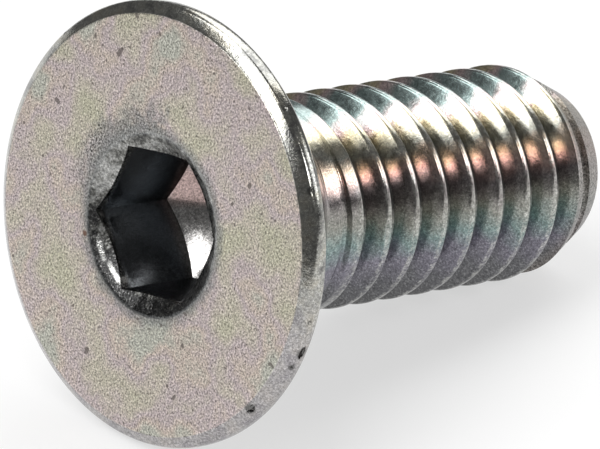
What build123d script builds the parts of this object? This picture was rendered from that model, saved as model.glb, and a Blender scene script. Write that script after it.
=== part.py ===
from build123d import *
import os
from math import atan, cos, degrees, radians, tan

# Hexagon socket countersunk head screw, M4 x 0.7 x 10, right-hand thread, in millimetres.
# One forged and rolled piece. It is made along +Z, from the head face at Z = 0 to the tip,
# and then laid down at rest on the rim of its head and the last crest of its thread.

# Head
head_diameter = 7.84
rim_chamfer_width = 0.14
rim_chamfer_height = 0.10
rim_height = 0.39
rim_radius = 0.06
countersink_angle = 90.0
neck_fillet = 0.22

# Hexagon socket
socket_across_flats = 2.55
socket_depth = 1.80
socket_mouth_diameter = 3.20
socket_mouth_angle = 120.0
socket_floor_angle = 120.0
socket_turn = 20.9

# Thread: root_width is the flat left at the bottom of the groove
overall_length = 9.80
thread_diameter = 3.88
thread_depth = 0.37
thread_root_width = 0.14
thread_flank_angle = 60.0
thread_pitch = 0.70

# Run-out: the groove leaves the shank at run_out_start and has its full depth a few turns on
run_out_start = 2.70
run_out_turns = 1.0
thread_turn = 164.2

# Tapered tip
tip_diameter = 2.86
tip_taper_length = 1.08
tip_edge_radius = 0.15

# How far round the seam of the turned faces lies, clear of the line on which the screw rests
seam_turn = 2.9

# How far a cutting shape runs past the metal that it cuts
cut_margin = 0.10

head_radius = head_diameter / 2
shank_radius = thread_diameter / 2
root_radius = shank_radius - thread_depth
bar_length = overall_length + 3 * thread_pitch


def turned(profile):
    """Revolve a profile, drawn as (radius, height), about the axis of the screw."""
    return Rot(0, 0, seam_turn) * revolve(Plane.XZ * make_face(profile), Axis.Z)


def head_and_shank():
    """The forged head on a plain shank, which is left over-long until the thread is cut."""
    countersink_height = (head_radius - shank_radius) / tan(radians(countersink_angle / 2))
    half = FilletPolyline(
        (0, 0),
        (head_radius - rim_chamfer_width, 0),
        (head_radius, rim_chamfer_height),
        (head_radius, rim_height),
        (shank_radius, rim_height + countersink_height),
        (shank_radius, bar_length),
        (0, bar_length),
        radius=[rim_radius, rim_radius, rim_radius, neck_fillet, 0],
    )
    return turned(half + Line((0, bar_length), (0, 0)))


def socket():
    """The punched socket: a chamfered round mouth, six flats and a conical floor."""
    corner_radius = socket_across_flats / 2 / cos(radians(30))
    floor_depth = corner_radius / tan(radians(socket_floor_angle / 2))
    mouth_radius = socket_mouth_diameter / 2
    mouth_depth = mouth_radius / tan(radians(socket_mouth_angle / 2))
    hexagon = Rot(0, 0, socket_turn) * RegularPolygon(corner_radius, 6)
    flats = extrude(hexagon, socket_depth + floor_depth)
    punch = turned(Polyline(
        (0, 0),
        (corner_radius, 0),
        (corner_radius, socket_depth),
        (0, socket_depth + floor_depth),
        close=True,
    ))
    mouth = turned(Polyline((0, 0), (mouth_radius, 0), (0, mouth_depth), close=True))
    return (flats & punch) + mouth


def groove_section():
    """The groove's section, drawn from its root outwards and running past the crests."""
    depth = thread_depth + cut_margin
    root = thread_root_width / 2
    mouth = root + depth * tan(radians(thread_flank_angle / 2))
    return make_face(Polyline(
        (depth, -mouth),
        (0, -root),
        (0, root),
        (depth, mouth),
        close=True,
    ))


def groove_path():
    """The helix that the groove's root follows, from the run-out below the head to past the tip."""
    climb = run_out_turns * thread_pitch
    climb_angle = atan(thread_depth / climb)
    full_start = run_out_start + climb
    full_length = overall_length + thread_pitch - full_start
    # The pitch of a conical helix is measured along its slope
    run_out = Helix(
        thread_pitch / cos(climb_angle),
        climb,
        shank_radius,
        (0, 0, run_out_start),
        cone_angle=-degrees(climb_angle),
    )
    full = Helix(thread_pitch, full_length, root_radius, (0, 0, full_start))
    full = Rot(0, 0, 360 * run_out_turns) * full
    return Wire([*run_out.edges(), *full.edges()])


def thread_groove():
    """The helical groove of the thread, cut by sweeping its section along its path."""
    path = groove_path()
    start = path @ 0
    outwards = Vector(start.X, start.Y, 0)
    section = Plane(origin=start, x_dir=outwards, z_dir=path % 0) * groove_section()
    return Rot(0, 0, thread_turn) * sweep(section, path=path, is_frenet=True)


def tip_trim():
    """What is turned off the end of the bar: all beyond the tip and outside its taper."""
    slope = (shank_radius - tip_diameter / 2) / tip_taper_length
    outer_radius = shank_radius + cut_margin
    outer_height = overall_length - tip_taper_length - cut_margin / slope
    beyond = bar_length + cut_margin
    half = FilletPolyline(
        (0, overall_length),
        (tip_diameter / 2, overall_length),
        (outer_radius, outer_height),
        (outer_radius, beyond),
        (0, beyond),
        radius=[tip_edge_radius, 0, 0],
    )
    return turned(half + Line((0, beyond), (0, overall_length)))


def upright_screw():
    """The whole screw standing on its head."""
    return head_and_shank() - socket() - thread_groove() - tip_trim()


def laid_down(upright):
    """Lay the screw down, touching at the rim of its head and at the end of its full thread."""
    full_thread_end = overall_length - tip_taper_length
    tilt = degrees(atan((head_radius - shank_radius) / (full_thread_end - rim_height)))
    lying = Rot(0, 90 + tilt, 0) * upright
    box = lying.bounding_box()
    centre = box.center()
    return Pos(-centre.X, -centre.Y, -box.min.Z) * lying


screw = laid_down(upright_screw())
os.makedirs("parts", exist_ok=True)
export_step(screw, "parts/screw.step")
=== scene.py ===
# %% [markdown]
# # A countersunk socket screw
# The real screw is one piece of steel. A header forges the head and punches the hexagon socket,
# two dies roll the thread into the shank, and a thin coat of bright zinc goes on last.
# We take nearly the same steps: a turned head, a rolled thread, a tapered tip, a punched socket,
# then the wear, the zinc finish and the studio.
# The packed model is loaded first, because it fixes where everything goes.

# %% Load the packed model
import bmesh
import bpy
from math import atan, atan2, cos, pi, radians, sin, tan
from mathutils import Matrix, Vector, noise


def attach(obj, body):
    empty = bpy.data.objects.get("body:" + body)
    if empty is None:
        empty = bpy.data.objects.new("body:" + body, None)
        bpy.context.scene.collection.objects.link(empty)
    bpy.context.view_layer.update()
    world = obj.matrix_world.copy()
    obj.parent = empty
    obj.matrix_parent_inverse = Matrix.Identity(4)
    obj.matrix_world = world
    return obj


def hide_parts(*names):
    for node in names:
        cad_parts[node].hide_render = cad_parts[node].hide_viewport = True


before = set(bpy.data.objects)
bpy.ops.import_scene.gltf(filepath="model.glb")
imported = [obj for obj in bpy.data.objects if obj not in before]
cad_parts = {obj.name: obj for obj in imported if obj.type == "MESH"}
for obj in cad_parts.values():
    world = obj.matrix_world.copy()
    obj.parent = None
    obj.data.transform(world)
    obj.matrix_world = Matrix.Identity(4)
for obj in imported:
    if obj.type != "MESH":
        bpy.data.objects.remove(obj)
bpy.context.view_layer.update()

# %% [markdown]
# The screw is modelled upright, with the head face at height 0 and the tip at the top, since a
# lathe and a thread roller both work about one straight axis. These are the sizes of the packed
# model, in metres, with two changes. The head is 5 micrometres smaller in radius, so that it stays
# inside the model's box, and the edge of its face is worn wider than the model's plain chamfer.
# LAID_DOWN is the move from upright to where the packed model lies, on its rim and its last crest,
# and RESTING_PLACE is where that move puts the centre of the head face.

# %% The sizes of the screw
MM = 0.001
MODEL_HEAD_RADIUS = 3.92 * MM
HEAD_RADIUS = 3.915 * MM
FACE_EDGE_WIDTH = 0.21 * MM
FACE_EDGE_HEIGHT = 0.13 * MM
RIM_HEIGHT = 0.39 * MM
SHANK_RADIUS = 1.94 * MM
CONE_END = RIM_HEIGHT + HEAD_RADIUS - SHANK_RADIUS
SOCKET_FLATS = 2.55 * MM
SOCKET_DEPTH = 1.80 * MM
SOCKET_TURN = radians(20.9)
MOUTH_RADIUS = 1.60 * MM
THREAD_DEPTH = 0.37 * MM
THREAD_PITCH = 0.70 * MM
THREAD_TURN = radians(164.2)
ROOT_WIDTH = 0.14 * MM
ROOT_RADIUS = SHANK_RADIUS - THREAD_DEPTH
RUN_OUT_START = 2.70 * MM
LENGTH = 9.80 * MM
TIP_RADIUS = 1.43 * MM
TAPER_LENGTH = 1.08 * MM
TILT = atan((MODEL_HEAD_RADIUS - SHANK_RADIUS) / (LENGTH - TAPER_LENGTH - RIM_HEIGHT))
RESTING_PLACE = Vector((-4.487911 * MM, 0, 3.899811 * MM))
LAID_DOWN = Matrix.Translation(RESTING_PLACE) @ Matrix.Rotation(pi / 2 + TILT, 4, "Y")
print("laid down with the axis tilted", round(TILT * 180 / pi, 3), "degrees")

# %% [markdown]
# An operator acts on everything that is selected, and in edit mode only on one object. So before
# each operator we say which piece to work on, and choose by place what the operator is to change.

# %% Choose what to work on
def work_on(piece, mode="OBJECT"):
    """Make this piece the only one selected, in object or edit mode. None selects nothing."""
    if bpy.context.object and bpy.context.object.mode != "OBJECT":
        bpy.ops.object.mode_set(mode="OBJECT")
    bpy.ops.object.select_all(action="DESELECT")
    if piece:
        piece.select_set(True)
        bpy.context.view_layer.objects.active = piece
        bpy.ops.object.mode_set(mode=mode)


def select_where(kind, test):
    """In edit mode, select the vertices, edges or faces that pass a test, and count them."""
    bpy.ops.mesh.select_mode(type=kind)
    bpy.ops.mesh.select_all(action="DESELECT")
    shape = bmesh.from_edit_mesh(bpy.context.object.data)
    parts = {"VERT": shape.verts, "EDGE": shape.edges, "FACE": shape.faces}[kind]
    chosen = [part for part in parts if test(part)]
    for part in chosen:
        part.select_set(True)
    shape.select_flush_mode()
    bmesh.update_edit_mesh(bpy.context.object.data)
    return len(chosen)


work_on(None)
print("selected at the start:", len(bpy.context.selected_objects))

# %% [markdown]
# A turned part starts as half of its outline. We put one point down, extrude it from corner to
# corner, and round the corners with a vertex bevel, much as the tool leaves them. The outline then
# spins about the axis. A stack of cylinders and cones would need a boolean at every step, where one
# outline holds all the sizes in a single list.

# %% Turn a shape from its outline
SAME_PLACE = 1e-7


def outline(name, corners, rounding=()):
    """Extrude one point through corners, each a (radius, height), and round some of them.

    A row of rounding is a corner, how far the bevel reaches along its sides, and its segments.
    """
    work_on(None)
    bpy.ops.mesh.primitive_plane_add(size=MM, location=(0, 0, 0))
    piece = bpy.context.object
    piece.name = name
    work_on(piece, "EDIT")
    bpy.ops.mesh.select_mode(type="VERT")
    bpy.ops.mesh.select_all(action="SELECT")
    bpy.ops.mesh.merge(type="CENTER")
    bpy.ops.transform.translate(value=(corners[0][0], 0, corners[0][1]))
    for (radius, height), (next_radius, next_height) in zip(corners, corners[1:]):
        step = (next_radius - radius, 0, next_height - height)
        bpy.ops.mesh.extrude_vertices_move(TRANSFORM_OT_translate={"value": step})
    for (radius, height), reach, segments in rounding:
        corner = Vector((radius, 0, height))
        select_where("VERT", lambda v: (v.co - corner).length < SAME_PLACE)
        bpy.ops.mesh.bevel(
            offset=reach, offset_type="OFFSET", segments=segments, affect="VERTICES"
        )
    return piece


def tidy_mesh(merge_distance=SAME_PLACE):
    """In edit mode, merge doubles and turn all faces outwards."""
    bpy.ops.mesh.select_all(action="SELECT")
    bpy.ops.mesh.remove_doubles(threshold=merge_distance)
    bpy.ops.mesh.normals_make_consistent(inside=False)


def spin_round(piece, steps):
    """Spin an outline once round the upright axis into a closed turned shape."""
    work_on(piece, "EDIT")
    bpy.ops.mesh.select_all(action="SELECT")
    bpy.ops.mesh.spin(steps=steps, angle=2 * pi, center=(0, 0, 0), axis=(0, 0, 1))
    tidy_mesh()
    work_on(piece)


print("points count as one within", round(SAME_PLACE * 1e9), "nanometres")

# %% [markdown]
# Each step prints how large the mesh has become and whether it is still closed. Booleans need
# closed shapes, so an open edge is worth knowing of at once, and a volume that jumps shows a step
# that went wrong before any picture does.

# %% Measure a piece
def measure(piece):
    """Print how many faces a piece has, whether it is closed, and its volume."""
    shape = bmesh.new()
    shape.from_mesh(piece.data)
    loose = sum(not edge.is_manifold for edge in shape.edges)
    volume = round(shape.calc_volume() / MM ** 3, 3)
    print(piece.name, "faces:", len(shape.faces), "open edges:", loose, "mm3:", volume)
    shape.free()


# %% [markdown]
# The head is a disc with a short rim and a 90 degree cone below it, which runs into the shank
# through a small fillet. Upsetting leaves the rim slightly barrel-shaped, and tumbling rounds its
# edges. A plain cylinder with small bevels would be quicker, but it would mirror the lamps as flat
# bands, where the swollen rim draws them out into the thin bright lines that a real one shows.
# Two more points split the wide face, so that the socket later cuts only its inner ring.

# %% Turn the head
NECK_END = 2.460 * MM
RIM_SWELL = 0.016 * MM
face_edge = (HEAD_RADIUS - FACE_EDGE_WIDTH, 0)
rim_start = (HEAD_RADIUS - RIM_SWELL, FACE_EDGE_HEIGHT)
swell_start = (HEAD_RADIUS, RIM_HEIGHT * 0.56)
swell_end = (HEAD_RADIUS, RIM_HEIGHT * 0.76)
rim_end = (HEAD_RADIUS - RIM_SWELL, RIM_HEIGHT)
neck = (SHANK_RADIUS, CONE_END)
head = outline(
    "socket_screw",
    [
        (0, 0),
        (2.3 * MM, 0),
        (3.1 * MM, 0),
        face_edge,
        rim_start,
        swell_start,
        swell_end,
        rim_end,
        neck,
        (SHANK_RADIUS, NECK_END),
        (0, NECK_END),
    ],
    rounding=[
        (face_edge, 0.045 * MM, 5),
        (rim_start, 0.045 * MM, 5),
        (swell_start, 0.030 * MM, 3),
        (swell_end, 0.030 * MM, 3),
        (rim_end, 0.035 * MM, 4),
        (neck, 0.088 * MM, 5),
    ],
)
spin_round(head, steps=256)
measure(head)

# %% [markdown]
# One turn of the thread is drawn as a groove between two half crests. The crests and the root are
# rounded, as rolling dies leave them, and two more points on each flank let it bend smoothly where
# the groove runs out.

# %% Draw one groove of the thread
FLANK_SLOPE = tan(radians(30))
FIRST_GROOVE = RUN_OUT_START - THREAD_PITCH * THREAD_TURN / (2 * pi)
CREST_ROUNDING = 0.040 * MM
ROOT_ROUNDING = 0.05 * MM
groove_middle = FIRST_GROOVE - 2 * THREAD_PITCH


def flank(side, depth):
    """The corner on one side of the groove, at a depth measured outwards from its root."""
    half_width = ROOT_WIDTH / 2 + depth * FLANK_SLOPE
    return (ROOT_RADIUS + depth, groove_middle + side * half_width)


thread = outline(
    "thread",
    [
        (SHANK_RADIUS, groove_middle - THREAD_PITCH / 2),
        flank(-1, THREAD_DEPTH),
        flank(-1, THREAD_DEPTH * 2 / 3),
        flank(-1, THREAD_DEPTH / 3),
        flank(-1, 0),
        flank(1, 0),
        flank(1, THREAD_DEPTH / 3),
        flank(1, THREAD_DEPTH * 2 / 3),
        flank(1, THREAD_DEPTH),
        (SHANK_RADIUS, groove_middle + THREAD_PITCH / 2),
    ],
    rounding=[
        (flank(-1, THREAD_DEPTH), CREST_ROUNDING, 5),
        (flank(-1, 0), ROOT_ROUNDING, 4),
        (flank(1, 0), ROOT_ROUNDING, 4),
        (flank(1, THREAD_DEPTH), CREST_ROUNDING, 5),
    ],
)
work_on(thread)
print("groove", round(THREAD_DEPTH / MM, 2), "mm deep, points:", len(thread.data.vertices))

# %% [markdown]
# The Screw modifier winds the groove up the shank. A groove could also be cut from a cylinder, but
# a helical sweep this regular keeps the faces long and clean, which matters on shiny flanks.

# %% Wind it up the shank
STEPS_IN_A_TURN = 128
TURNS_WOUND = 14
winding = thread.modifiers.new("winding", "SCREW")
winding.axis = "Z"
winding.angle = 2 * pi
winding.screw_offset = THREAD_PITCH
winding.steps = STEPS_IN_A_TURN
winding.render_steps = STEPS_IN_A_TURN
winding.iterations = TURNS_WOUND
winding.use_merge_vertices = True
winding.merge_threshold = 1e-6
work_on(thread)
bpy.ops.object.modifier_apply(modifier="winding")
work_on(thread, "EDIT")
tidy_mesh()
work_on(thread)
measure(thread)

# %% [markdown]
# Below the head the groove runs out: over its last turn it climbs out of the metal and gets
# narrower as it gets shallower. No operator makes that, so each point moves by a rule. It finds
# its groove, sees how deep that groove is there, and closes up towards the plain shank.

# %% Let the groove run out below the head
def run_out(place):
    """Where a point of the full thread lies when the run-out has made its groove shallower."""
    turns = (place.z - FIRST_GROOVE) / THREAD_PITCH - atan2(place.y, place.x) / (2 * pi)
    groove = place.z - (turns - round(turns)) * THREAD_PITCH
    share = min(max((groove - RUN_OUT_START) / THREAD_PITCH, 0), 1)
    if share == 1:
        return place
    full_mouth = ROOT_WIDTH / 2 + THREAD_DEPTH * FLANK_SLOPE
    mouth = ROOT_WIDTH / 2 + THREAD_DEPTH * share * FLANK_SLOPE
    crest = THREAD_PITCH / 2
    reach = abs(place.z - groove)
    if reach > full_mouth:
        reach = mouth + (reach - full_mouth) * (crest - mouth) / (crest - full_mouth)
    elif reach > ROOT_WIDTH / 2:
        reach = ROOT_WIDTH / 2 + (reach - ROOT_WIDTH / 2) * share
    radius = SHANK_RADIUS - (SHANK_RADIUS - place.xy.length) * share
    outwards = place.xy.normalized() * radius
    return Vector((outwards.x, outwards.y, groove + (reach if place.z > groove else -reach)))


for vertex in thread.data.vertices:
    vertex.co = run_out(vertex.co)
print("the groove runs out from", round((RUN_OUT_START + THREAD_PITCH) / MM, 2), "to",
      round(RUN_OUT_START / MM, 2), "mm below the face")

# %% [markdown]
# The winding is longer than the shank and open at both ends. Two bisects cut it square, and each
# cut is filled, so that it is a closed bar.

# %% Cut the bar square
THREAD_BOTTOM = 2.50 * MM
BAR_TOP = LENGTH + 0.4 * MM
ON_THE_CUT = 2e-6
work_on(thread, "EDIT")
for cut, side in ((THREAD_BOTTOM, "clear_inner"), (BAR_TOP, "clear_outer")):
    bpy.ops.mesh.select_all(action="SELECT")
    bpy.ops.mesh.bisect(
        plane_co=(0, 0, cut), plane_no=(0, 0, 1), threshold=1e-9, **{side: True}
    )
    bpy.ops.mesh.select_all(action="SELECT")
    bpy.ops.mesh.remove_doubles(threshold=1e-6)
    select_where("EDGE", lambda e: e.is_boundary and abs(e.verts[0].co.z - cut) < ON_THE_CUT)
    bpy.ops.mesh.edge_face_add()
tidy_mesh()
work_on(thread)
measure(thread)

# %% [markdown]
# The real blank is pointed before the dies roll it. Here a turned shape with the screw's tapered
# end trims the bar instead: where the cone crosses the helix the crests fade out along a long
# curve, which a boolean finds by itself.

# %% Taper the tip
def combine(piece, other, operation):
    """Join, cut or intersect two closed shapes, and use up the second one."""
    modifier = piece.modifiers.new(operation.lower(), "BOOLEAN")
    modifier.object = other
    modifier.operation = operation
    modifier.solver = "EXACT"
    work_on(piece)
    bpy.ops.object.modifier_apply(modifier=modifier.name)
    bpy.data.objects.remove(other)


taper_slope = (SHANK_RADIUS - TIP_RADIUS) / TAPER_LENGTH
clear_radius = 2.3 * MM
taper = outline(
    "taper",
    [
        (0, MM),
        (clear_radius, MM),
        (clear_radius, LENGTH - (clear_radius - TIP_RADIUS) / taper_slope),
        (TIP_RADIUS, LENGTH),
        (TIP_RADIUS / 2, LENGTH),
        (0, LENGTH),
    ],
    rounding=[((TIP_RADIUS, LENGTH), 0.095 * MM, 5)],
)
spin_round(taper, steps=128)
combine(thread, taper, "INTERSECT")
measure(thread)

# %% [markdown]
# Head and shank are now two closed shapes. A boolean could join them, but it would cut the rings of
# both into slivers. So each loses the flat face that looks at the other, and a bridge of clean
# faces joins the two rings.

# %% Join the shank to the head
work_on(head, "EDIT")
select_where("VERT", lambda v: abs(v.co.z - NECK_END) < SAME_PLACE and v.co.xy.length < MM)
bpy.ops.mesh.delete(type="VERT")
work_on(thread, "EDIT")
select_where("FACE", lambda f: all(abs(v.co.z - THREAD_BOTTOM) < ON_THE_CUT for v in f.verts))
bpy.ops.mesh.delete(type="ONLY_FACE")
work_on(head)
thread.select_set(True)
bpy.ops.object.join()
work_on(head, "EDIT")
select_where("EDGE", lambda e: e.is_boundary)
bpy.ops.mesh.bridge_edge_loops()
bpy.ops.mesh.select_all(action="SELECT")
bpy.ops.mesh.delete_loose()
tidy_mesh(2 * SAME_PLACE)
work_on(head)
screw = head
measure(screw)

# %% [markdown]
# The real punch is a six-sided bar with a conical end. A six-sided cylinder gives the flats, and a
# turned shape trims its end to the cone. As one closed shape it can be taken out of the head later.

# %% Make the punch
corner_radius = SOCKET_FLATS / 2 / cos(radians(30))
cone_slope = 1 / tan(radians(60))
SOCKET_END = SOCKET_DEPTH + corner_radius * cone_slope
work_on(None)
bpy.ops.mesh.primitive_cylinder_add(
    vertices=6,
    radius=corner_radius,
    depth=4 * MM,
    location=(0, 0, MM),
    rotation=(0, 0, SOCKET_TURN - pi / 6),
)
punch = bpy.context.object
punch.name = "punch"
bpy.ops.object.transform_apply(location=True, rotation=True, scale=True)
point_radius = 1.55 * MM
point_start = -0.3 * MM
point = outline(
    "point",
    [
        (0, point_start),
        (point_radius, point_start),
        (point_radius, SOCKET_DEPTH - (point_radius - corner_radius) * cone_slope),
        (0, SOCKET_END),
    ],
)
spin_round(point, steps=96)
combine(punch, point, "INTERSECT")
measure(punch)

# %% [markdown]
# A shallow cone chamfers the socket's mouth. Hexagon keys have battered it, so before the cone
# joins the punch, two smooth noises push its surface in and out a little: broad dents and small
# chips, with their depths in millimetres.

# %% Batter the mouth and punch the socket
MOUTH_OVERRUN = 0.1 * MM
LIP = 0.08 * MM
DENT_DEPTH, DENTS_PER_METRE = 0.020, 4200
CHIP_DEPTH, CHIPS_PER_METRE = 0.010, 10500
mouth = outline(
    "mouth",
    [
        (0, -MOUTH_OVERRUN),
        (MOUTH_RADIUS + MOUTH_OVERRUN / cone_slope, -MOUTH_OVERRUN),
        (MOUTH_RADIUS, 0),
        (MOUTH_RADIUS - LIP, LIP * cone_slope),
        (0, MOUTH_RADIUS * cone_slope),
    ],
)
spin_round(mouth, steps=128)
for vertex in mouth.data.vertices:
    if vertex.co.xy.length > MM:
        batter = DENT_DEPTH * noise.noise(vertex.co * DENTS_PER_METRE)
        batter += CHIP_DEPTH * noise.noise(vertex.co * CHIPS_PER_METRE)
        vertex.co += Vector((*vertex.co.xy.normalized(), 0)) * batter * MM
combine(punch, mouth, "UNION")
combine(screw, punch, "DIFFERENCE")
measure(screw)

# %% [markdown]
# Neither a punch nor a key leaves sharp edges, and a mirror-bright edge needs some width to catch
# the light. The edges are found by their place and by how far they bend, and then bevelled, the
# mouth's a little more than the rest.

# %% Soften the edges of the socket
def bends(edge, degrees):
    """Whether two faces meet at an edge at more than this angle."""
    return len(edge.link_faces) == 2 and edge.calc_face_angle() > radians(degrees)


def is_in_socket(edge):
    """Whether an edge lies below the mouth, where the flats meet each other and the floor."""
    return bends(edge, 18) and all(
        v.co.xy.length < MOUTH_RADIUS - 0.05 * MM and 0.1 * MM < v.co.z < 2.2 * MM
        for v in edge.verts
    )


def is_at_mouth(edge):
    """Whether an edge is part of the ring where the mouth meets the face."""
    return bends(edge, 10) and all(
        abs(v.co.z) < SAME_PLACE and v.co.xy.length < MOUTH_RADIUS + 0.1 * MM
        for v in edge.verts
    )


def soften(test, offset):
    """Bevel the edges that pass a test."""
    found = select_where("EDGE", test)
    bpy.ops.mesh.bevel(
        offset=offset, offset_type="OFFSET", segments=4, affect="EDGES", clamp_overlap=True
    )
    print("edges softened over", round(offset / MM, 3), "mm:", found)


work_on(screw, "EDIT")
bpy.ops.mesh.select_all(action="SELECT")
bpy.ops.mesh.remove_doubles(threshold=2 * SAME_PLACE)
soften(is_in_socket, 0.040 * MM)
soften(is_at_mouth, 0.045 * MM)
work_on(screw)
measure(screw)

# %% [markdown]
# A screw that has lain in a bin with others has nicks in its rim. Each is a small lump with an
# uneven surface that is taken out of the edge, which leaves a crisp dent that a bump couldn't give.
# The list stays, because the finish darkens the same places.

# %% Nick the rim
NICKS = (
    # turn in degrees, radius and depth below the face in mm, then the lump's half sizes in mm:
    # outwards, round the rim and along the axis
    (-75.0, 3.935, 0.25, (0.085, 0.150, 0.055)),
    (-70.5, 3.930, 0.17, (0.050, 0.080, 0.035)),
    (-84.0, 3.935, 0.20, (0.040, 0.045, 0.040)),
    (-52.5, 3.810, 0.05, (0.080, 0.150, 0.050)),
    (-118.0, 3.935, 0.16, (0.040, 0.120, 0.030)),
    (-140.0, 3.930, 0.20, (0.036, 0.060, 0.050)),
    (64.0, 3.935, 0.22, (0.045, 0.080, 0.050)),
    (131.0, 3.915, 0.13, (0.050, 0.070, 0.045)),
)
UNEVEN_SHARE = 0.4
LUMPS_PER_METRE = 1700
for turn, reach, depth, sizes in NICKS:
    work_on(None)
    bpy.ops.mesh.primitive_ico_sphere_add(subdivisions=2, radius=MM, location=(0, 0, 0))
    lump = bpy.context.object
    for vertex in lump.data.vertices:
        uneven = noise.noise(vertex.co * LUMPS_PER_METRE + Vector((turn, 0, 0)))
        vertex.co *= 1 + UNEVEN_SHARE * uneven
    lump.data.transform(
        Matrix.Rotation(radians(turn), 4, "Z")
        @ Matrix.Translation((reach * MM, 0, depth * MM))
        @ Matrix.Diagonal((*sizes, 1))
    )
    combine(screw, lump, "DIFFERENCE")
measure(screw)

# %% [markdown]
# The screw is finished upright, so it is now laid down by moving its mesh. The object itself stays
# at the origin, so that the finish can still measure from the object's own coordinates. Faces that
# meet at a slight angle are shaded smooth, and the crisp dents stay crisp.

# %% Lay it down where the packed model lies
SMOOTH_BELOW = radians(22)
screw.data.transform(LAID_DOWN)
work_on(screw)
bpy.ops.object.shade_smooth_by_angle(angle=SMOOTH_BELOW)
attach(screw, "root")
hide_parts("screw")
print(screw.name, "laid down, reaches", [round(side / MM, 2) for side in screw.dimensions], "mm")

# %% [markdown]
# Shader maths is easier to read as plain arithmetic than as a chain of boxes. So a small class
# wraps the socket of a node, and each operator on it adds the Math node that does the sum. With
# the reflected forms, 1 - mask works as well as mask - 1.

# %% A value that varies over a surface
class Value:
    """A number from a node. Arithmetic on it adds nodes to its finish."""

    def __init__(self, finish, socket):
        self.finish = finish
        self.socket = socket

    def __add__(self, other):
        return self.finish.maths("ADD", self, other)

    def __sub__(self, other):
        return self.finish.maths("SUBTRACT", self, other)

    def __rsub__(self, other):
        return self.finish.maths("SUBTRACT", other, self)

    def __mul__(self, other):
        return self.finish.maths("MULTIPLY", self, other)

    def __truediv__(self, other):
        return self.finish.maths("DIVIDE", self, other)

    def __rtruediv__(self, other):
        return self.finish.maths("DIVIDE", other, self)

    def __abs__(self):
        return self.finish.maths("ABSOLUTE", self)

    __radd__ = __add__
    __rmul__ = __mul__

    def at_least(self, low):
        """Itself, or low where it falls below."""
        return self.finish.maths("MAXIMUM", self, low)

    def at_most(self, high):
        """Itself, or high where it rises above."""
        return self.finish.maths("MINIMUM", self, high)

    def ramp(self, low, high):
        """0 below low, 1 above high, and a smooth climb between."""
        limits = {"Value": self, "From Min": low, "From Max": high}
        node = self.finish.node("MapRange", {"interpolation_type": "SMOOTHSTEP"}, limits)
        return Value(self.finish, node.outputs["Result"])

    def band(self, start, end, soft):
        """1 between start and end, and 0 outside, with soft edges."""
        return self.ramp(start - soft, start + soft) * (1 - self.ramp(end - soft, end + soft))


print("reflected operators:", [name for name in vars(Value) if name.startswith("__r")])

# %% [markdown]
# A finish is a material in the making. All of its nodes come from one method, which sets a node's
# own settings first and then feeds its sockets. The others only call it: a noise, a spot, a mix of
# two colours and a ramp of colours are what a plated surface is painted with.

# %% A finish in the making
class Finish:
    """A material whose nodes are added from plain expressions."""

    def __init__(self, name):
        self.material = bpy.data.materials.new(name)
        self.material.use_nodes = True
        self.tree = self.material.node_tree
        self.shader = self.tree.nodes["Principled BSDF"]

    def feed(self, place, item):
        """Fill one input with a value, a link from another node, or a plain setting."""
        if isinstance(item, Value):
            item = item.socket
        if isinstance(item, bpy.types.NodeSocket):
            self.tree.links.new(item, place)
        else:
            place.default_value = item

    def set_stops(self, ramp, stops):
        """Give a colour ramp its stops, each a place from 0 to 1 and a colour."""
        while len(ramp.elements) < len(stops):
            ramp.elements.new(1)
        for element, (place, colour) in zip(ramp.elements, stops):
            element.position = place
            element.color = (*colour, 1)

    def node(self, kind, settings, sockets):
        """Add a node, set its settings, then feed its sockets, given by name or number."""
        node = self.tree.nodes.new("ShaderNode" + kind)
        for name, setting in settings.items():
            if name == "stops":
                self.set_stops(node.color_ramp, setting)
            else:
                setattr(node, name, setting)
        for place, item in sockets.items():
            self.feed(node.inputs[place], item)
        return node

    def maths(self, operation, *items):
        """Add the Math node for an operation on values or numbers."""
        node = self.node("Math", {"operation": operation}, dict(enumerate(items)))
        return Value(self, node.outputs[0])

    def noise(self, where, scale, detail=2.0, roughness=0.5):
        """A smooth random value, mostly between 0.3 and 0.7."""
        sockets = {"Vector": where, "Scale": scale, "Detail": detail, "Roughness": roughness}
        return Value(self, self.node("TexNoise", {}, sockets).outputs["Fac"])

    def near(self, where, point, reach):
        """1 at a point, fading to 0 at a reach from it."""
        gap = self.node("VectorMath", {"operation": "DISTANCE"}, {0: where, 1: point})
        return 1 - Value(self, gap.outputs["Value"]).ramp(reach * 0.5, reach)

    def mix(self, factor, first, second, blend="MIX"):
        """Mix two colours, each a link or a tuple of red, green and blue."""
        settings = {"data_type": "RGBA", "blend_type": blend}
        sockets = {0: factor}
        for place, colour in ((6, first), (7, second)):
            sockets[place] = (*colour, 1) if isinstance(colour, tuple) else colour
        return self.node("Mix", settings, sockets).outputs[2]

    def colours(self, value, stops):
        """Turn a number into a colour with a ramp of (place, colour) stops."""
        return self.node("ValToRGB", {"stops": stops}, {"Fac": value}).outputs["Color"]

    def give(self, name, item):
        """Send a value, a colour or a plain setting to the shader."""
        self.feed(self.shader.inputs[name], item)


zinc = Finish("bright_zinc")
print("material:", zinc.material.name)

# %% [markdown]
# Zinc plate is thin, so each surface below it still shows. The upset face is matt and granular, the
# rim is tumbled smooth, the thread is rolled bright, and the clear passivation over it all turns
# pink, yellow or green where it is thicker. All of it follows one set of coordinates: the object's
# own, turned upright and measured in millimetres from the centre of the head face. An unwrapped
# image would show its seams on so round a shape, and these coordinates have none.

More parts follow.
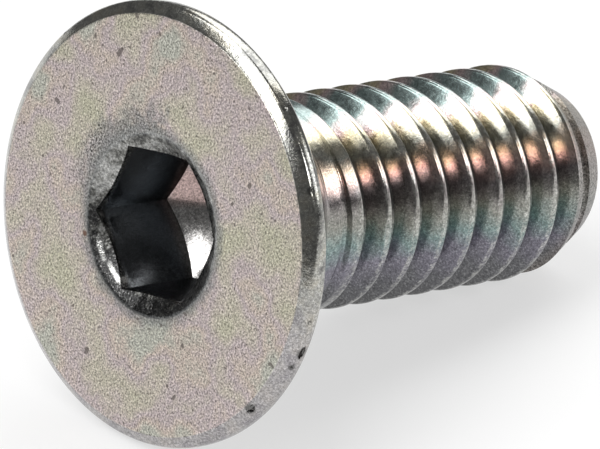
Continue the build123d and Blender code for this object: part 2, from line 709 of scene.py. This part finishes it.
# %% Coordinates on the upright screw
MM_IN_A_METRE = 1000
upright = Matrix.Rotation(pi / 2 + TILT, 3, "Y").inverted()
place = zinc.node(
    "Mapping",
    {"vector_type": "POINT"},
    {
        "Vector": zinc.node("TexCoord", {}, {}).outputs["Object"],
        "Location": -(upright @ RESTING_PLACE) * MM_IN_A_METRE,
        "Rotation": upright.to_euler(),
        "Scale": (MM_IN_A_METRE, MM_IN_A_METRE, MM_IN_A_METRE),
    },
).outputs["Vector"]
parts = zinc.node("SeparateXYZ", {}, {"Vector": place})
across, along, height = (Value(zinc, socket) for socket in parts.outputs)
flat = zinc.node("CombineXYZ", {}, {"X": across, "Y": along}).outputs[0]
from_axis = zinc.node("VectorMath", {"operation": "LENGTH"}, {"Vector": flat})
radius = Value(zinc, from_axis.outputs["Value"])
round_turn = zinc.maths("ARCTAN2", along, across) * (180 / pi)
print("nodes for the coordinates:", len(zinc.tree.nodes))

# %% [markdown]
# A surface of a turned part is known by its radius and its height, so a mask for each is a product
# of ramps. The places of the ramps come from the sizes of the screw, so the finish follows when a
# size changes.

# %% Where each surface is
mouth_radius = MOUTH_RADIUS / MM
face_end = (HEAD_RADIUS - FACE_EDGE_WIDTH) / MM
rim_height = RIM_HEIGHT / MM
cone_end = CONE_END / MM
mouth_depth = (mouth_radius - SOCKET_FLATS / 2 / MM) * cone_slope
socket_depth = SOCKET_DEPTH / MM
socket_end = SOCKET_END / MM
root_radius = ROOT_RADIUS / MM
shank_radius = SHANK_RADIUS / MM
groove_full = (RUN_OUT_START + THREAD_PITCH) / MM
taper_start = (LENGTH - TAPER_LENGTH) / MM
below_face = height.ramp(0.003, 0.012)
outside_mouth = radius.ramp(mouth_radius, mouth_radius + 0.06)
inside_socket = 1 - radius.ramp(mouth_radius - 0.04, mouth_radius + 0.06)
on_face = (1 - below_face) * outside_mouth
in_socket = inside_socket * (1 - height.ramp(socket_end + 0.01, socket_end + 0.05))
on_mouth = in_socket * (1 - height.ramp(mouth_depth + 0.012, mouth_depth + 0.152))
before_cone = 1 - height.ramp(rim_height + 0.02, rim_height + 0.05)
on_rim = below_face * before_cone * radius.ramp(face_end - 0.105, face_end - 0.045)
on_shank = height.ramp(cone_end - 0.125, cone_end - 0.025) * (1 - in_socket)
on_tip = height.ramp(taper_start - 0.02, taper_start + 0.14)
shaded_root = on_shank * (1 - radius.ramp(root_radius + 0.01, root_radius + 0.09)) * (1 - on_tip)
on_crest = on_shank * radius.ramp(shank_radius - 0.025, shank_radius - 0.008)
on_crest = on_crest * height.ramp(groove_full - 0.3, groove_full - 0.1)
print("socket to", round(socket_end, 2), "mm, tip from", round(taper_start, 2), "mm")

# %% [markdown]
# The plating has a fine and a coarse grain, and slower noises make its patches. They are four
# noises on the same coordinates, and every later step draws on them, so that colour, gloss and
# relief change together as they do on metal.

# %% The grain and the patches
tint = zinc.noise(place, scale=0.75, detail=1.0)
patches = zinc.noise(place, scale=2.6, detail=3.0, roughness=0.6)
fine_grain = zinc.noise(place, scale=26.0, detail=2.0, roughness=0.8)
coarse_grain = zinc.noise(place, scale=9.0, detail=3.0, roughness=0.65)
uneven = (patches - 0.5) * 1.6 + (coarse_grain - 0.5) * 0.9
print("nodes with the grain:", len(zinc.tree.nodes))

# %% [markdown]
# Keys have scuffed the face grey above and beside the mouth, raised a small burr and worn two
# streaks inside, which are also painted bright as highlights. A band of radius and a band of angle
# meet in such a patch, and the noise that is added to both makes its outline ragged. A grey halo
# goes all round the mouth.

# %% The scuffs, the burr and the streaks
def worn(radii, turns, ragged, soft):
    """A patch between two radii and two turns. Ragged and soft are in mm, then in degrees."""
    over_radii = (radius + uneven * ragged[0]).band(*radii, soft[0])
    over_turns = (round_turn + uneven * ragged[1]).band(*turns, soft[1])
    return over_radii * over_turns


scuffed = worn(radii=(1.55, 2.05), turns=(96, 182), ragged=(0.5, 60), soft=(0.22, 16))
burr = worn(radii=(1.84, 2.06), turns=(110, 128), ragged=(0.1, 8), soft=(0.05, 3))
# Two worn streaks, painted bright as highlights.
worn_highlight_streaks = on_mouth * (
    worn(radii=(1.38, 1.45), turns=(26, 41), ragged=(0.02, 0), soft=(0.02, 4))
    + worn(radii=(1.43, 1.50), turns=(47, 61), ragged=(0.02, 0), soft=(0.02, 4))
)
halo = 1 - (radius + uneven * 0.16).ramp(mouth_radius + 0.04, mouth_radius + 0.26)
print("nodes with the wear:", len(zinc.tree.nodes))

# %% [markdown]
# Small dark specks lie all over the face, the nicks are darkened, and a trace of rust has started
# at the mouth. The specks are the peaks of three noises of different sizes, since one noise alone
# would make them all alike, and each darkened spot fades with the distance from its nick.

# %% The specks, the darkened nicks and the rust
SPECKS = (
    # scale and detail of the noise, then where a speck starts and where it is full
    (3.1, 1.0, 0.735, 0.755),
    (7.5, 0.5, 0.79, 0.81),
    (12.0, 0.0, 0.77, 0.80),
)
DARKENING_INSET = 0.03
DARKENING_MARGIN = 0.02


def spot(turn, reach, depth=0.0):
    """A place on the screw, from a turn in degrees and a radius and height in mm."""
    return Matrix.Rotation(radians(turn), 3, "Z") @ Vector((reach, 0, depth))


specks = sum(
    zinc.noise(place, scale, detail).ramp(start, full) for scale, detail, start, full in SPECKS
)
specks = specks.at_most(1.0) * on_face
darkened_nicks = sum(
    zinc.near(place, spot(turn, reach - DARKENING_INSET, depth), sum(sizes[:2]) / 2 + DARKENING_MARGIN)
    for turn, reach, depth, sizes in NICKS
)
rust = zinc.near(place, spot(66, 1.70), 0.07)
print("sizes of speck:", len(SPECKS), "and dirty nicks:", len(NICKS))

# %% [markdown]
# The face is a warm grey with slow patches of pink, straw and a little green. A ramp turns the
# slowest noise into these colours, and the scuffs and the worn ring at the mouth go over them.

# %% The colour of the face
face_colour = zinc.colours(tint + (patches - 0.5) * 0.25, [
    (0.32, (0.56, 0.54, 0.42)),
    (0.42, (0.60, 0.545, 0.47)),
    (0.50, (0.58, 0.50, 0.50)),
    (0.58, (0.62, 0.535, 0.47)),
    (0.68, (0.535, 0.535, 0.47)),
])
stained = ((0.42 - patches) * 6).at_least(0.0).at_most(1.0)
face_colour = zinc.mix(scuffed * 0.8, face_colour, (0.27, 0.27, 0.26))
face_colour = zinc.mix(halo * 0.75, face_colour, (0.24, 0.25, 0.25))
face_colour = zinc.mix(stained * 0.35, face_colour, (0.42, 0.36, 0.37))
print("nodes with the face:", len(zinc.tree.nodes))

# %% [markdown]
# On the thread the clear passivation shows its interference colours: straw and pink high on the
# flanks, orange a little lower, then teal and lilac. The same ramp also carries painted light: it
# is brightest in the bands where the lamps are mirrored on the flanks, as a painted highlight, and
# it darkens underneath as painted shade. A thin film in the shader would shift the colours with the
# eye, but it can't be baked for other renderers, so here they are fixed to the surface. They run
# round the shank, so a ramp on the angle gives them, from 0 underneath to 1 on top, and noise
# breaks them up from thread to thread.

# %% The colours of the thread
turned = abs(round_turn) + (zinc.noise(place, scale=0.9, detail=1.0) - 0.5) * 26
turned = turned + (patches - 0.5) * 14
# Painted light in this ramp: brightest where the lamps are mirrored high on the flanks, darkest
# underneath as painted shade.
shank_colour = zinc.colours(turned / 180, [
    (0.10, (0.13, 0.13, 0.13)),
    (0.30, (0.17, 0.17, 0.18)),
    (0.40, (0.22, 0.21, 0.25)),
    (0.47, (0.21, 0.28, 0.27)),
    (0.54, (0.28, 0.28, 0.25)),
    (0.62, (0.30, 0.27, 0.27)),
    (0.675, (0.55, 0.40, 0.36)),
    (0.72, (0.54, 0.43, 0.33)),
    (0.76, (0.36, 0.36, 0.32)),
    (0.82, (0.53, 0.49, 0.37)),
    (0.86, (0.66, 0.58, 0.39)),
    (0.90, (0.64, 0.50, 0.49)),
    (0.95, (0.26, 0.33, 0.32)),
])
# Paler crests: partly wear, partly a painted highlight along the crest lines.
crest_wear_and_highlight = on_crest * coarse_grain.ramp(0.4, 0.6)
# Painted shade: the roots of the groove are darkened.
shank_colour = zinc.mix(shaded_root * 0.6, shank_colour, (0.10, 0.10, 0.09))
shank_colour = zinc.mix(crest_wear_and_highlight * 0.5, shank_colour, (0.52, 0.52, 0.49))
shank_colour = zinc.mix(on_tip * 0.8, shank_colour, (0.24, 0.22, 0.205))
print("nodes with the thread:", len(zinc.tree.nodes))

# %% [markdown]
# The rim takes its colour from the patches and turns lilac underneath. The flats of the socket are
# a dark bluish grey, which is painted shade inside the recess, and its floor is paler, with pink on
# one side. The mouth is darker on one side and lighter on the other, and how light it is comes from
# noise and from two stretches of angle.

# %% The colours of the rim, the socket and its mouth
underneath = 1 - turned.ramp(70, 105)
rim_colour = zinc.colours(patches, [
    (0.36, (0.24, 0.24, 0.23)),
    (0.48, (0.40, 0.40, 0.37)),
    (0.66, (0.46, 0.44, 0.38)),
])
rim_colour = zinc.mix(underneath * 0.5, rim_colour, (0.38, 0.35, 0.38))
deep = height.ramp(socket_depth - 0.2, socket_depth + 0.1)
# Painted shade: the flats inside the socket are dark, and the floor is paler.
socket_colour = zinc.mix(deep, (0.18, 0.195, 0.21), (0.40, 0.39, 0.38))
pink_side = deep * round_turn.band(78, 112, 6)
socket_colour = zinc.mix(pink_side, socket_colour, (0.44, 0.33, 0.31))
# The mouth's chamfer is darker where this is low and lighter where it is high.
mouth_lightness = patches + (coarse_grain - 0.5) * 0.3
mouth_lightness = mouth_lightness - round_turn.band(-80, 75, 12) * 0.12
mouth_lightness = mouth_lightness + round_turn.band(85, 200, 12) * 0.06
mouth_colour = zinc.colours(mouth_lightness, [
    (0.42, (0.05, 0.05, 0.05)),
    (0.52, (0.16, 0.16, 0.15)),
    (0.62, (0.34, 0.34, 0.33)),
])
print("nodes with the rim and the socket:", len(zinc.tree.nodes))

# %% [markdown]
# Now each surface gets its colour through its mask. The grain then multiplies the whole, because
# it makes a dark colour and a light one uneven by the same share. It is strongest on the face,
# which was upset against a rough die, on its burr and on the cropped tip.

# %% Lay the colours on, and the grain over them
colour = zinc.mix(on_face, (0.38, 0.38, 0.36), face_colour)
for surface, its_colour in (
    (on_rim, rim_colour),
    (in_socket, socket_colour),
    (on_mouth, mouth_colour),
    (on_shank, shank_colour),
):
    colour = zinc.mix(surface, colour, its_colour)
grain = (fine_grain - 0.5) * 5.0 + (coarse_grain - 0.5) * 0.9
grain_strength = (
    0.26
    + (on_shank + on_rim) * (1 - turned.ramp(92, 125)) * 0.24
    + on_face * 0.50
    + on_tip * 0.5
    + in_socket * 0.3
    + burr * 0.8
    + scuffed * 0.2
)
shade = (1 + grain * grain_strength).at_least(0.15)
grey = zinc.node("CombineColor", {}, {"Red": shade, "Green": shade, "Blue": shade}).outputs[0]
colour = zinc.mix(1.0, colour, grey, "MULTIPLY")
print("nodes with the grain in the colour:", len(zinc.tree.nodes))

# %% [markdown]
# What is smaller than a patch goes on last: bright single grains painted as glints, the specks,
# the two streaks, worn and painted bright as highlights, the darkened nicks and the rust. Each is a
# mask, a strength and a colour.

# %% Painted glints, specks, streaks and darkened nicks
# Painted glints: single grains made nearly white, as if they caught the light.
painted_glints = fine_grain.ramp(0.57, 0.63)
painted_glints = painted_glints * (on_face + on_rim * 0.5 + on_shank * 0.3 + on_mouth * 0.5)
for mark, strength, its_colour in (
    (painted_glints, 0.35, (0.86, 0.85, 0.82)),
    (specks, 0.75, (0.13, 0.11, 0.10)),
    (worn_highlight_streaks, 0.85, (0.66, 0.66, 0.64)),
    (darkened_nicks, 0.7, (0.09, 0.09, 0.085)),
    (rust, 0.8, (0.17, 0.08, 0.05)),
):
    colour = zinc.mix(mark * strength, colour, its_colour)
zinc.give("Base Color", colour)
print("nodes in the colour:", len(zinc.tree.nodes))

# %% [markdown]
# Gloss follows the way that each surface was made: rolled flanks and the tumbled rim are smooth,
# the upset face and the cropped tip are matt. The same grains also go to a bump, because they are
# far too fine to model.

# %% The gloss and the relief of the zinc
RELIEF_HEIGHT = 0.02 * MM
roughness = (
    0.20
    + on_face * 0.28
    + on_tip * 0.18
    - on_rim * 0.04
    + on_mouth * 0.08
    - worn_highlight_streaks * 0.12
    + (coarse_grain - 0.5) * 0.25
)
relief = 0.16 + on_face * 0.8 + on_tip * 0.9 + on_rim * 0.2 + on_mouth * 1.4 + burr
relief = (fine_grain * 0.5 + coarse_grain) * relief
bump = zinc.node("Bump", {}, {"Strength": 0.5, "Distance": RELIEF_HEIGHT, "Height": relief})
zinc.give("Metallic", 1.0)
zinc.give("Roughness", roughness)
zinc.give("Normal", bump.outputs["Normal"])
screw.data.materials.clear()
screw.data.materials.append(zinc.material)
print("finish on", screw.name, "with", len(zinc.tree.nodes), "nodes")

# %% [markdown]
# The screw lies on a plain pale floor. To the camera, and to anything mirrored in the metal, six
# tenths of its light is its own, so that it looks white, and the rest keeps the shadow. A plain
# white floor would need lamps so bright that they would burn out the metal.

# %% Floor
FLOOR_RADIUS = 0.8
GLOW_SHARE = 0.6
work_on(None)
bpy.ops.mesh.primitive_circle_add(
    vertices=96, radius=FLOOR_RADIUS, fill_type="NGON", location=(0, 0, 0)
)
floor = bpy.context.object
floor.name = "floor"
pale = Finish("pale_floor")
pale.give("Base Color", (0.86, 0.86, 0.86, 1))
pale.give("Roughness", 0.9)
rays = pale.node("LightPath", {}, {}).outputs
seen = sum(
    Value(pale, rays[name])
    for name in ("Is Camera Ray", "Is Glossy Ray", "Is Transmission Ray")
)
glow = pale.node("Emission", {}, {"Color": (1, 1, 1, 1), "Strength": 1.0})
both = pale.node(
    "MixShader", {}, {0: seen * GLOW_SHARE, 1: pale.shader.outputs[0], 2: glow.outputs[0]}
)
pale.feed(pale.tree.nodes["Material Output"].inputs["Surface"], both.outputs[0])
floor.data.materials.append(pale.material)
print("floor radius:", FLOOR_RADIUS, "m")

# %% [markdown]
# Shiny metal shows its surroundings, so the light is a few soft panels in a dim room, and what lies
# between them stays dark, which is what makes metal look like metal. The top panel lights the rim,
# the right one the neck and the left one the flanks of the thread. The small front panel is seen
# only after two reflections in a groove, as the warm spot low on each flank, and the side panel
# draws the bright line down the rim.

# %% Studio light
ROOM_STRENGTH = 0.14
world = bpy.data.worlds.new("studio")
bpy.context.scene.world = world
world.use_nodes = True
room = world.node_tree.nodes["Background"].inputs
room["Color"].default_value = (1, 1, 1, 1)
room["Strength"].default_value = ROOM_STRENGTH


def panel(name, azimuth, elevation, distance, width, length, brightness):
    """A soft panel that faces the screw. Angles are in degrees and sizes in metres."""
    lamp = bpy.data.lights.new(name, "AREA")
    lamp.shape = "RECTANGLE"
    lamp.size = width
    lamp.size_y = length
    lamp.energy = brightness * pi * width * length
    holder = bpy.data.objects.new(name, lamp)
    bpy.context.collection.objects.link(holder)
    away = Vector((
        cos(radians(elevation)) * cos(radians(azimuth)),
        cos(radians(elevation)) * sin(radians(azimuth)),
        sin(radians(elevation)),
    ))
    facing = away.to_track_quat("Z", "Y").to_matrix().to_4x4()
    holder.matrix_world = Matrix.Translation(away * distance) @ facing
    holder.visible_camera = False
    print(name, "towards", [round(v, 2) for v in away])


# Azimuth and elevation, distance, width and length, and brightness
panel("top_panel", 140, 70, 0.25, 0.18, 0.18, 3.6)
panel("right_panel", 24, 44, 0.30, 0.24, 0.29, 2.6)
panel("left_panel", 171, 43, 0.30, 0.138, 0.138, 4.6)
panel("front_panel", -63, 33, 0.30, 0.065, 0.065, 9.5)
panel("side_panel", -31, 15, 0.30, 0.095, 0.095, 3.4)

# %% [markdown]
# A long lens keeps the round head free of distortion. It looks a little down past the head face, so
# that the socket and the whole thread show at once. Its three directions are kept square to each
# other by cross products.

# %% Camera
CAMERA_PLACE = Vector((-0.093290, -0.098730, 0.073694))
right = Vector((0.726968, -0.686608, -0.009329)).normalized()
forward = Vector((0.604595, 0.646457, -0.465357)).normalized()
up = right.cross(forward).normalized()
right = forward.cross(up).normalized()
camera = bpy.data.objects.new("camera", bpy.data.cameras.new("camera"))
bpy.context.collection.objects.link(camera)
facing = Matrix((right, up, -forward)).transposed().to_4x4()
camera.matrix_world = Matrix.Translation(CAMERA_PLACE) @ facing
camera.data.sensor_width = 36
camera.data.lens = 519.75
camera.data.clip_start = 0.01
camera.data.clip_end = 10
bpy.context.scene.camera = camera
bpy.context.scene.view_settings.view_transform = "Standard"
print("lens:", camera.data.lens, "mm, from", [round(v, 3) for v in CAMERA_PLACE])

# %% [markdown]
# The visible screw stays inside the box of the packed model.
